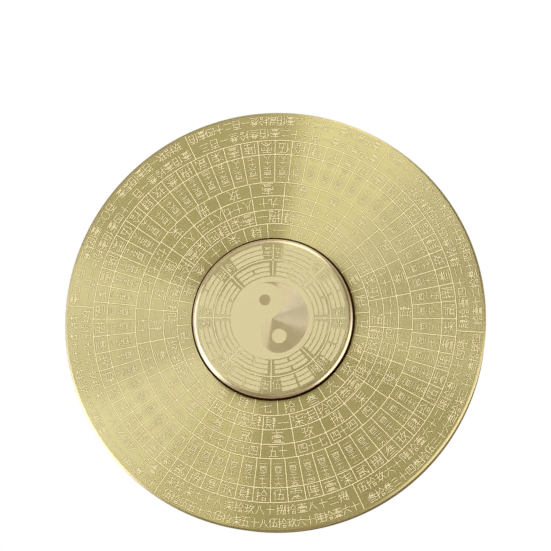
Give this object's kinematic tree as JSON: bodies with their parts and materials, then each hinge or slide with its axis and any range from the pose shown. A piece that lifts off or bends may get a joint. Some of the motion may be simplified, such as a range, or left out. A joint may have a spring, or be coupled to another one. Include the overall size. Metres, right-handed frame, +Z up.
{
  "type": "bagua compass",
  "caption": "Flat round brass compass disc with a raised dial that spins on a small ball bearing hidden in the disc.",
  "frame": {"origin": "centre of the disc's flat underside", "axes": "+Z up through the dial's axis, +Y towards the top of the face as pictured"},
  "size_m": [0.08, 0.08, 0.0104],
  "materials": {
    "turned_brass": "fine-turned and left bright, with frosted engraving",
    "bearing_steel": "ground",
    "ball_chrome": "polished",
    "cage_nylon": "natural"
  },
  "bodies": {
    "case": {"outer_disc": "turned_brass", "back_cover": "turned_brass", "bearing_outer_race": "bearing_steel", "bearing_shield_upper": "bearing_steel", "bearing_shield_lower": "bearing_steel", "circlip": "bearing_steel"},
    "dial": {"bagua_dial": "turned_brass", "bearing_inner_race": "bearing_steel", "clamp_washer": "bearing_steel", "clamp_screw": "bearing_steel"},
    "ball_set": {"bearing_ball_1": "ball_chrome", "bearing_ball_2": "ball_chrome", "bearing_ball_3": "ball_chrome", "bearing_ball_4": "ball_chrome", "bearing_ball_5": "ball_chrome", "bearing_ball_6": "ball_chrome", "bearing_ball_7": "ball_chrome", "bearing_ball_8": "ball_chrome", "bearing_ball_9": "ball_chrome", "bearing_cage": "cage_nylon"}
  },
  "joints": [
    {"name": "dial_turn", "type": "hinge", "parent": "case", "child": "dial", "pos_m": [0, 0, 0.0065], "axis": [0, 0, 1], "continuous": true},
    {"name": "ball_orbit", "type": "hinge", "parent": "case", "child": "ball_set", "pos_m": [0, 0, 0.0065], "axis": [0, 0, 1], "continuous": true}
  ],
  "couplings": [
    {"joint": "ball_orbit", "follows": "dial_turn", "ratio": 0.4008}
  ]
}
